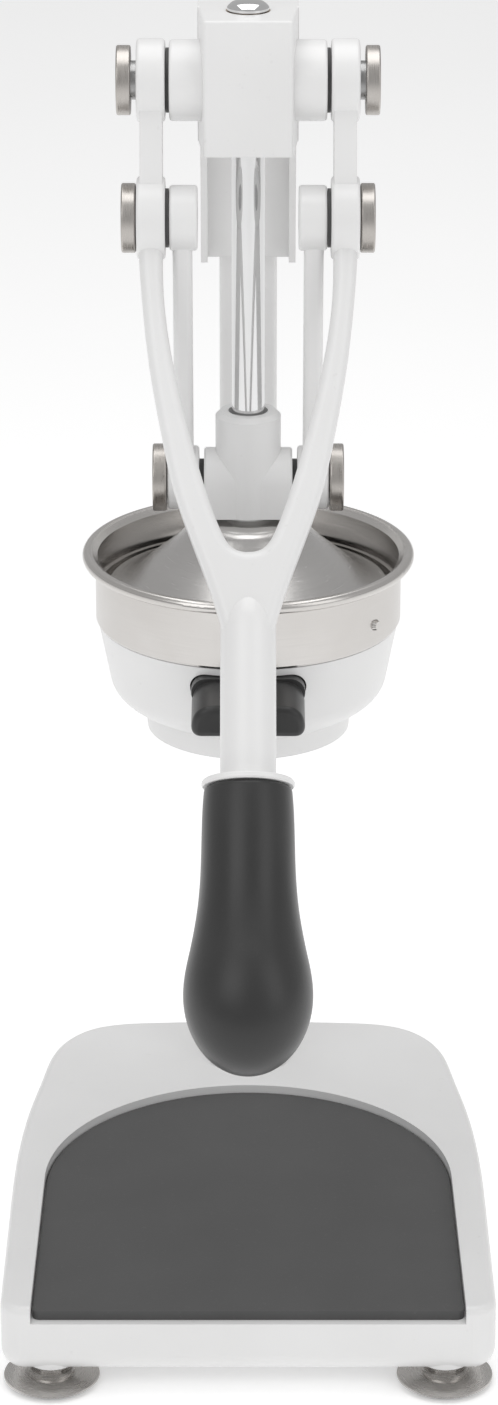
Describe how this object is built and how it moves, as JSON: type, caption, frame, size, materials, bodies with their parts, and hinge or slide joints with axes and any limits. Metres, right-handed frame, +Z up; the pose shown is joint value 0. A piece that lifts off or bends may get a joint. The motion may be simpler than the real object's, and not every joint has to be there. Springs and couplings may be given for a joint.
{
  "type": "citrus press juicer",
  "caption": "Upright hand citrus press: forked lever with linkage lowers a domed press cone on a rod into a strainer bowl over a heavy footed base with a rubber glass mat",
  "frame": {"origin": "on the surface the feet rest on, under the middle of the overall box", "axes": "+Z up; the user stands at -Y, where the handle is; +X to the user's right"},
  "size_m": [0.186, 0.3298, 0.5059],
  "materials": {
    "white_coat": "white powder coat with a soft sheen on cast metal",
    "mat_rubber": "matt dark grey rubber sheet",
    "grip_rubber": "satin dark grey rubber",
    "pad_rubber": "black rubber",
    "foot_steel": "satin stainless steel, turned",
    "cap_steel": "brushed nickel, turned face",
    "dark_washer": "dark grey plastic",
    "pin_steel": "ground steel",
    "rod_chrome": "polished hard chrome",
    "bowl_steel": "spun stainless sheet with a fine turned grain",
    "screw_steel": "zinc-plated steel",
    "bush_bronze": "plain bronze bearing metal"
  },
  "bodies": {
    "frame": {"base_casting": "white_coat", "glass_mat": "mat_rubber", "column": "white_coat", "column_bolt": "screw_steel", "column_washer": "screw_steel", "head_casting": "white_coat", "head_screws": "screw_steel", "rod_bush_upper": "bush_bronze", "rod_bush_lower": "bush_bronze", "bowl_housing": "white_coat", "housing_screws": "screw_steel", "juice_funnel": "bowl_steel", "funnel_spout": "bowl_steel", "funnel_grip": "grip_rubber", "grip_screws": "screw_steel", "head_pin_left": "pin_steel", "head_cap_left": "cap_steel", "head_washer_left": "dark_washer", "head_pin_right": "pin_steel", "head_cap_right": "cap_steel", "head_washer_right": "dark_washer"},
    "basket": {"strainer_basket": "bowl_steel", "strainer_cup": "bowl_steel", "strainer_cone": "bowl_steel", "strainer_rivets": "bowl_steel"},
    "handle": {"handle_yoke": "white_coat", "handle_grip": "grip_rubber", "arm_pin_left": "pin_steel", "arm_cap_left": "cap_steel", "arm_washer_left": "dark_washer", "arm_pin_right": "pin_steel", "arm_cap_right": "cap_steel", "arm_washer_right": "dark_washer"},
    "carriage": {"guide_rod": "rod_chrome", "rod_cap": "rod_chrome", "slider_block": "white_coat", "rod_grub_screw": "screw_steel", "press_cone": "bowl_steel", "press_washer": "screw_steel", "press_nut": "screw_steel", "slider_pin_left": "pin_steel", "slider_cap_left": "cap_steel", "slider_washer_left": "dark_washer", "slider_pin_right": "pin_steel", "slider_cap_right": "cap_steel", "slider_washer_right": "dark_washer"},
    "link_left": {"link_left": "white_coat", "link_pin_left": "pin_steel"},
    "link_right": {"link_right": "white_coat", "link_pin_right": "pin_steel"},
    "foot_front_left": {"foot_front_left": "foot_steel", "foot_pad_front_left": "pad_rubber"},
    "foot_front_right": {"foot_front_right": "foot_steel", "foot_pad_front_right": "pad_rubber"},
    "foot_rear_left": {"foot_rear_left": "foot_steel", "foot_pad_rear_left": "pad_rubber"},
    "foot_rear_right": {"foot_rear_right": "foot_steel", "foot_pad_rear_right": "pad_rubber"}
  },
  "joints": [
    {"name": "handle_swing", "type": "hinge", "parent": "frame", "child": "handle", "pos_m": [0, 0.026, 0.4765], "axis": [-1, 0, 0], "range_deg": [0, 100]},
    {"name": "press_lift", "type": "slide", "parent": "frame", "child": "carriage", "axis": [0, 0, 1], "range_m": [0, 0.0785]},
    {"name": "basket_turn", "type": "hinge", "parent": "frame", "child": "basket", "pos_m": [0, 0.026, 0.2724], "axis": [0, 0, 1], "continuous": true},
    {"name": "link_left_swing", "type": "hinge", "parent": "carriage", "child": "link_left", "pos_m": [-0.024, 0.026, 0.3264], "axis": [1, 0, 0], "range_deg": [0, 16.8]},
    {"name": "link_right_swing", "type": "hinge", "parent": "carriage", "child": "link_right", "pos_m": [0.024, 0.026, 0.3264], "axis": [1, 0, 0], "range_deg": [0, 16.8]},
    {"name": "foot_front_left_turn", "type": "hinge", "parent": "frame", "child": "foot_front_left", "pos_m": [-0.0743, -0.0715, 0.01], "axis": [0, 0, 1], "continuous": true},
    {"name": "foot_front_right_turn", "type": "hinge", "parent": "frame", "child": "foot_front_right", "pos_m": [0.0743, -0.0715, 0.01], "axis": [0, 0, 1], "continuous": true},
    {"name": "foot_rear_left_turn", "type": "hinge", "parent": "frame", "child": "foot_rear_left", "pos_m": [-0.06, 0.122, 0.01], "axis": [0, 0, 1], "continuous": true},
    {"name": "foot_rear_right_turn", "type": "hinge", "parent": "frame", "child": "foot_rear_right", "pos_m": [0.06, 0.122, 0.01], "axis": [0, 0, 1], "continuous": true}
  ],
  "couplings": [
    {"joint": "press_lift", "follows": "handle_swing", "m_per_rad": 0.04475},
    {"joint": "link_left_swing", "follows": "handle_swing", "ratio": 0.16357},
    {"joint": "link_right_swing", "follows": "handle_swing", "ratio": 0.16357}
  ]
}
